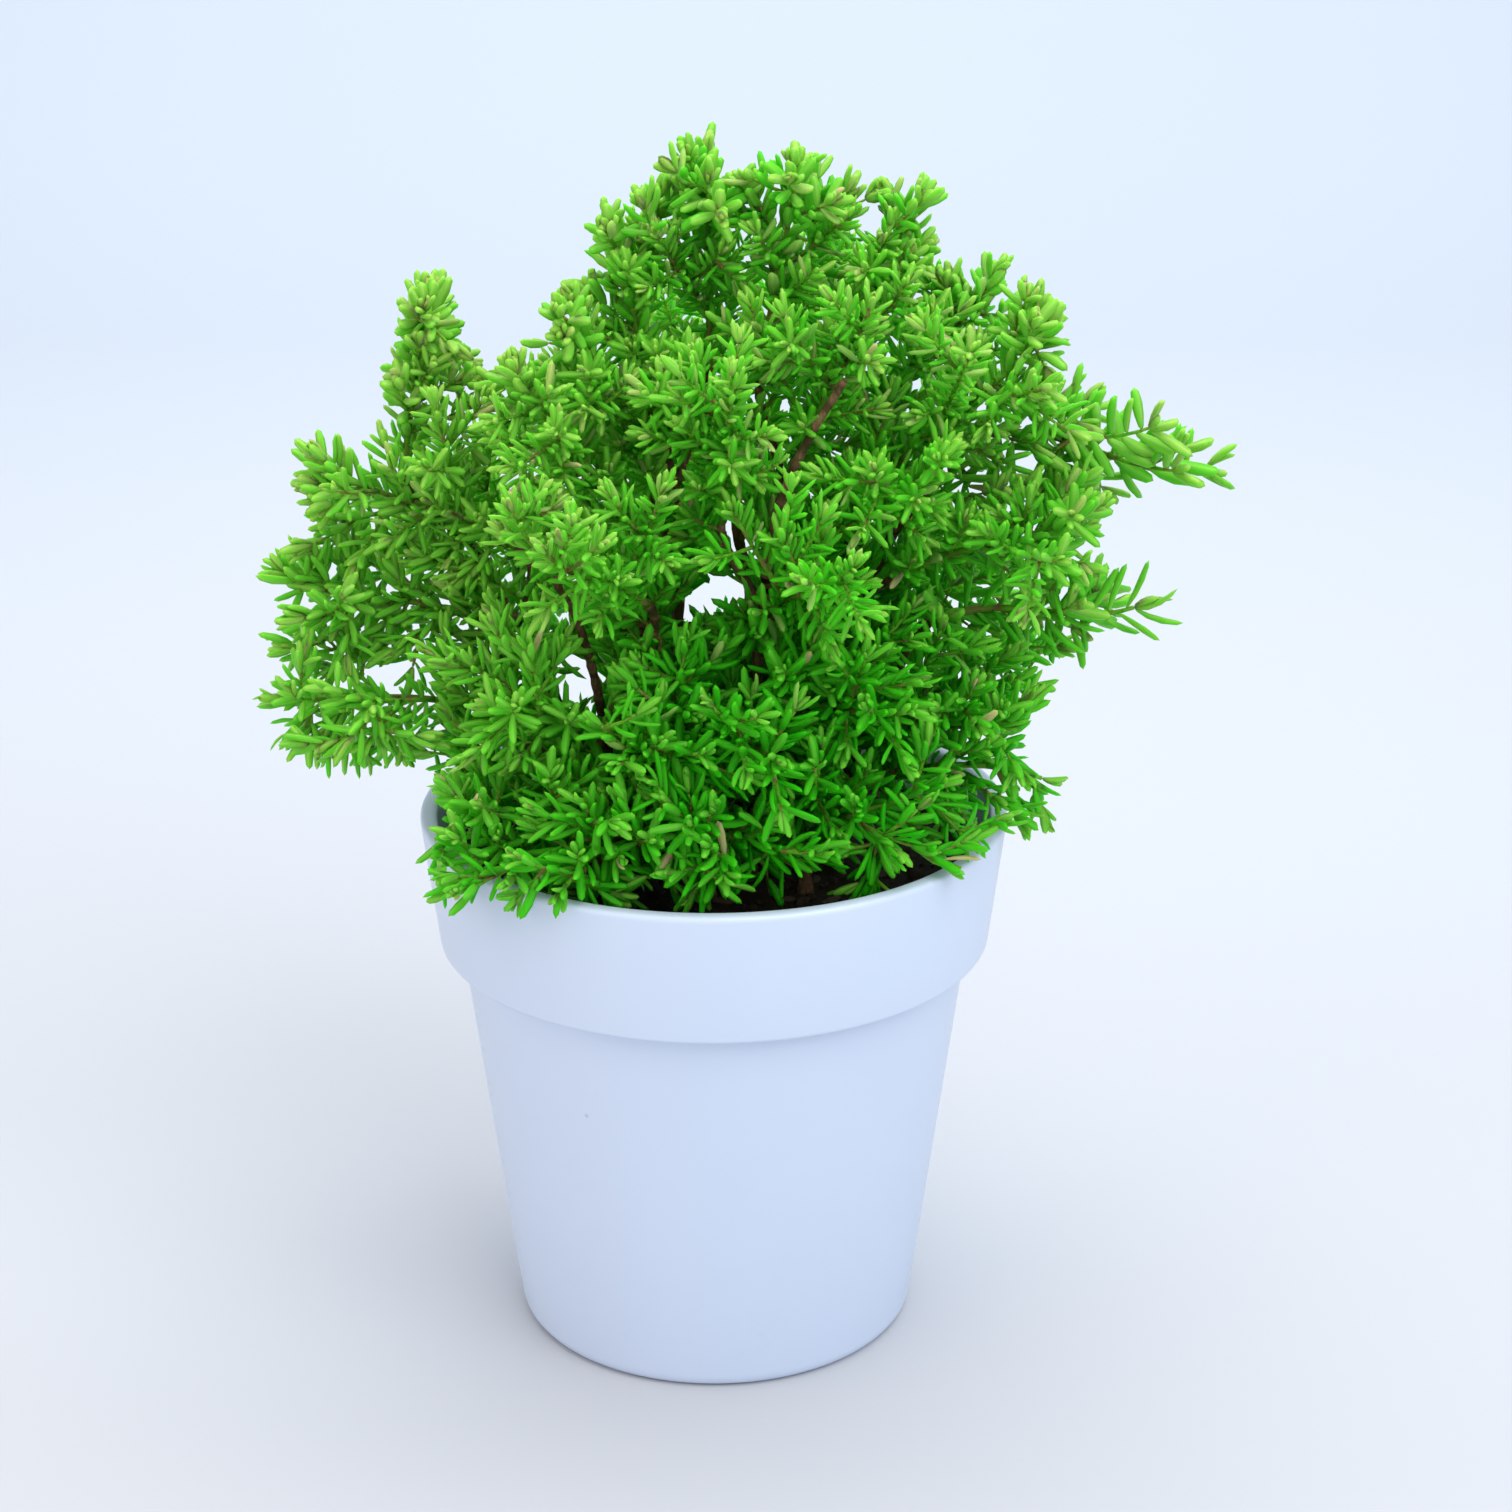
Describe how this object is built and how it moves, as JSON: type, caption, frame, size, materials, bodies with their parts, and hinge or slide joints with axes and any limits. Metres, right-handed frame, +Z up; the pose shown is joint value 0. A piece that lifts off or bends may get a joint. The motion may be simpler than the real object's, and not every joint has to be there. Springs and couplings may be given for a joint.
{
  "type": "potted needle stonecrop",
  "caption": "Bushy needle-leaved stonecrop on bare woody stems, growing in soil in a plain tapered flowerpot with a deep rim band; rests on its flat base.",
  "frame": {"origin": "centre of the pot's flat base, on the surface it stands on", "axes": "+Z up along the pot's axis, +Y away from the front, the side that the picture shows"},
  "size_m": [0.209, 0.1514, 0.2688],
  "materials": {
    "pot": "satin",
    "soil": "matte",
    "wood": "matte",
    "leaf": "satin"
  },
  "bodies": {
    "root": {"pot": "pot", "soil": "soil", "spray_apron_left": "leaf", "spray_apron_middle_left": "leaf", "spray_apron_middle_right": "leaf", "spray_apron_right": "leaf", "spray_column_left": "leaf", "spray_fill_28": "leaf", "spray_fill_29": "leaf", "spray_fill_30": "leaf", "spray_fill_31": "leaf", "spray_fill_32": "leaf", "spray_fill_33": "leaf", "spray_fill_34": "leaf", "spray_fill_35": "leaf", "spray_fill_36": "leaf", "spray_fill_37": "leaf", "spray_fill_38": "leaf", "spray_fill_39": "leaf", "spray_fill_40": "leaf", "spray_fill_41": "leaf", "spray_fill_42": "leaf", "spray_fill_43": "leaf", "spray_front_left": "leaf", "spray_front_right": "leaf", "spray_high_left": "leaf", "spray_left": "leaf", "spray_long_right": "leaf", "spray_low_left": "leaf", "spray_low_right": "leaf", "spray_low_right_front": "leaf", "spray_middle_left": "leaf", "spray_middle_right": "leaf", "spray_rim_front": "leaf", "spray_rim_front_left": "leaf", "spray_rim_front_right": "leaf", "spray_rim_left": "leaf", "spray_rim_left_front": "leaf", "spray_rim_right": "leaf", "spray_shoulder_front": "leaf", "spray_shoulder_right": "leaf", "spray_top": "leaf", "spray_top_left": "leaf", "spray_top_middle": "leaf", "spray_top_right": "leaf", "stem_back": "wood", "stem_back_left": "wood", "stem_back_right": "wood", "stem_front": "wood", "stem_front_left": "wood", "stem_front_right": "wood", "stem_high_front_left": "wood", "stem_high_front_right": "wood", "stem_lower_left": "wood", "stem_middle_left": "wood", "stem_middle_right": "wood", "stem_right": "wood", "stem_upper_left": "wood", "stem_upper_right": "wood"}
  },
  "joints": []
}
